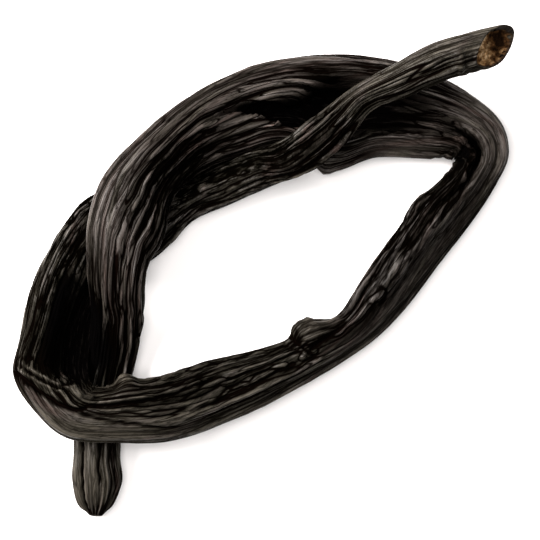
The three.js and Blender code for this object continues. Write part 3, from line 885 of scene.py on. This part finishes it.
# painted shade: dark hairlines, crease lines and lower plates, where less light falls
hairline = crease(streaks - 0.5, 0.035, 0.45)
CREASE_LINES = (("broad", 0.12, 1.2), ("medium", 0.10, 1.1), ("fine", 0.07, 0.8))  # width in millimetres
lines = [crease(finish.mask(name), width, strength) for name, width, strength in CREASE_LINES]
dark_lines = lines[0].math("MAXIMUM", lines[1]).math("MAXIMUM", lines[2])
low_plate = (finish.mask("medium") * -6.0).held() * 0.75 + (finish.mask("fine") * -12.0).held() * 0.3
low_plate = (low_plate * (0.95 - bloom_and_light_mask).held()).held()
dark = ((dark_lines + low_plate) * creased_mask).math("MAXIMUM", hairline)
dark = (dark * (1 - mottled_mask * 0.5) + finish.mask("cleft")).held()
flakes = (rough - 0.5) * (1.15 - bloom_and_light_mask) + (blots - 0.5) * mottled_mask * 1.6
# painted light and shade: lighter on proud plates, darker in the crease shade; grain and flakes are the
# skin's own
tone = proud_mask * 0.50 + (grain - 0.5) * 0.60 + flakes * 1.3 + bloom_and_light_mask * 0.72
tone = (tone - dark * 0.95 - mottled_mask * 0.12).held()
print("creases of", len(lines), "sizes, and hairlines")

# %% [markdown]
# The cut shows the tissue: dark, sticky flesh with paler torn fibres, and darkest in the middle. Elsewhere
# the colour runs from a painted black shade in the creases to a warm dark grey, with olive and red-brown
# patches. Where little light is painted it goes to black, the creases of lighter skin get a red-brown painted
# shade, and the hollows a black painted shade with faint streaks.

# %% Colours
SKIN_TONES = [(0.08, (0.0002, 0.0002, 0.0001)), (0.34, (0.0066, 0.0057, 0.0048)),
              (0.66, (0.0200, 0.0169, 0.0146)), (1.00, (0.0520, 0.0434, 0.0380))]
TISSUE_TONES = [(0.26, (0.006, 0.003, 0.0015)), (0.44, (0.045, 0.021, 0.008)),
                (0.58, (0.17, 0.100, 0.045)), (0.74, (0.46, 0.34, 0.21))]
OLIVE_TINT, RUSSET_TINT = (0.95, 1.0, 0.88), (1.10, 0.90, 0.86)
# painted shade: black where little light is painted, red-brown in creases, black with faint streaks in
# hollows
PAINTED_SHADE_BLACK, CREASE_SHADE_RED = (0.0006, 0.0005, 0.0005), (0.0026, 0.0012, 0.0009)
HOLLOW_SHADE_BLACK, HOLLOW_SHADE_STREAK = (0.0004, 0.0003, 0.0003), (0.0060, 0.0050, 0.0044)
skin_colour = finish.value("ShaderNodeValToRGB", 0, {"stops": SKIN_TONES}, {"Fac": tone})
olive_mask = ((patches - 0.5) * 4.0 + finish.mask("olive") * 0.9).held()
olive = finish.mix(olive_mask, skin_colour, OLIVE_TINT, "MULTIPLY")
russet = finish.mix(((0.46 - patches) * 5.0 - olive_mask).held(), olive, RUSSET_TINT, "MULTIPLY")
# painted shade towards black, then red-brown painted shade in the creases
shaded = finish.mix((1 - bloom_and_light_mask * 3.5).held(), russet, PAINTED_SHADE_BLACK)
crease_shaded = finish.mix((dark * bloom_and_light_mask * 0.7).held(), shaded, CREASE_SHADE_RED)
# painted shade in the hollows, black with faint streaks
hollow_shade = finish.mix(((rough - 0.56) * 5.0).held(), HOLLOW_SHADE_BLACK, HOLLOW_SHADE_STREAK)
valley = finish.mix((sunk_mask * 1.9 - 0.35).held(), crease_shaded, hollow_shade)

object_place = finish.value("ShaderNodeTexCoord", "Object")
torn = clouds(object_place, (1300.0,) * 3, 3.0, 0.6)
dampness = clouds(object_place, (330.0,) * 3, 1.0)
torn_tone = (torn * 0.95 + dampness * 1.3 - finish.mask("cleft") * 0.24 - 0.56).held()
tissue = finish.value("ShaderNodeValToRGB", 0, {"stops": TISSUE_TONES}, {"Fac": torn_tone})
colour = finish.mix(cut_mask, valley, tissue)
print("colour nodes:", len(finish.tree.nodes))

# %% [markdown]
# The film of oil is a coat whose weight changes over the skin. The coat's own roughness stays the same
# everywhere. A bump carries what is finer than the mesh: the sharp bottoms of the creases, hairlines and
# pores, which are about a tenth of a millimetre deep.

# %% Film of oil and fine relief
BUMP_HEIGHT = 0.00012
OIL_ROUGHNESS, OIL_IOR = 0.36, 1.34
film = ((proud_mask - 0.15) * 1.2 + (grain - 0.5) * 1.4) * bloom_and_light_mask + flakes
film = (film - dark * 1.1 - sunk_mask * 1.5 - cut_mask).held()
roughness = (0.72 - 0.3 * proud_mask + 0.2 * (grain - 0.5) + cut_mask * 0.2 + sunk_mask * 0.4).held()
fine_height = grain * 0.35 + flakes * 0.8 - dark * 0.8
bump = finish.value("ShaderNodeBump", 0, {}, {"Height": fine_height, "Distance": BUMP_HEIGHT})
shader = finish.value("ShaderNodeBsdfPrincipled", 0, {}, {
    "Base Color": colour, "Roughness": roughness, "Normal": bump, "Specular IOR Level": 0.0,
    "Coat Weight": film, "Coat Roughness": OIL_ROUGHNESS, "Coat IOR": OIL_IOR})
finish.node("ShaderNodeOutputMaterial", {}, {"Surface": shader})
pod.data.materials.append(finish.material)
print("the skin's finish has", len(finish.tree.nodes), "nodes")

# %% [markdown]
# ## The table and the light
#
# The floor is a plain pale sheet, much larger than the picture. It is stage, not part of the object.

# %% The floor
FLOOR_HALF = 3.0
FLOOR_GREY = 0.86
floor_mesh = bpy.data.meshes.new("floor")
corners = [(x * FLOOR_HALF, y * FLOOR_HALF, 0) for x, y in ((-1, -1), (1, -1), (1, 1), (-1, 1))]
floor_mesh.from_pydata(corners, [], [(0, 1, 2, 3)])
floor = bpy.data.objects.new("floor", floor_mesh)
bpy.context.scene.collection.objects.link(floor)
floor_paint = Graph("floor")
matt = {"Base Color": (FLOOR_GREY, FLOOR_GREY, FLOOR_GREY, 1), "Roughness": 0.9}
paint = floor_paint.value("ShaderNodeBsdfPrincipled", 0, {}, matt)
floor_paint.node("ShaderNodeOutputMaterial", {}, {"Surface": paint})
floor.data.materials.append(floor_paint.material)
print("floor", 2 * FLOOR_HALF, "m wide")

# %% [markdown]
# Two softboxes light the pod: a large one low on the upper left, which draws the wrinkles, and one above,
# which fills them. The world adds the brightness of a pale room.

# %% Light
WARM_WHITE = (1.0, 0.945, 0.92)
ROOM_LIGHT = 0.5
SOFTBOXES = [  # name, place in metres, side in metres, watts
    ("key", (-0.48, 0.26, 0.42), 0.45, 19.8),
    ("overhead", (0.0, 0.05, 0.7), 0.40, 4.8),
]


def softbox(name, stands_at, side, power):
    """A square area light, turned to the origin."""
    lamp = bpy.data.lights.new(name, "AREA")
    lamp.size, lamp.energy, lamp.color = side, power, WARM_WHITE
    made = bpy.data.objects.new(name, lamp)
    made.location = stands_at
    made.rotation_euler = (-Vector(stands_at)).to_track_quat("-Z", "Y").to_euler()
    bpy.context.scene.collection.objects.link(made)


for name, stands_at, side, power in SOFTBOXES:
    softbox(name, stands_at, side, power)
world = bpy.data.worlds.new("studio")
world.use_nodes = True
sky = world.node_tree.nodes["Background"]
sky.inputs["Color"].default_value = (1, 1, 1, 1)
sky.inputs["Strength"].default_value = ROOM_LIGHT
bpy.context.scene.world = world
bpy.context.scene.view_settings.view_transform = "Standard"

# %% [markdown]
# The camera looks straight down. Its lens is worked out so that the picture is as wide as the strip of
# table that it should show, a little more than the knot.

# %% Camera
CAMERA_HEIGHT = 0.6
FRAME_WIDTH = 0.054
MIDDLE_HEIGHT = 0.003
PICTURE_MIDDLE_X = 0.0009
SENSOR_WIDTH = 36
camera = bpy.data.cameras.new("camera")
camera.sensor_width = SENSOR_WIDTH
camera.lens = SENSOR_WIDTH * CAMERA_HEIGHT / FRAME_WIDTH
camera_object = bpy.data.objects.new("camera", camera)
camera_object.location = (PICTURE_MIDDLE_X, 0, CAMERA_HEIGHT + MIDDLE_HEIGHT)
bpy.context.scene.collection.objects.link(camera_object)
bpy.context.scene.camera = camera_object
print("lens", round(camera.lens), "mm")

# %% [markdown]
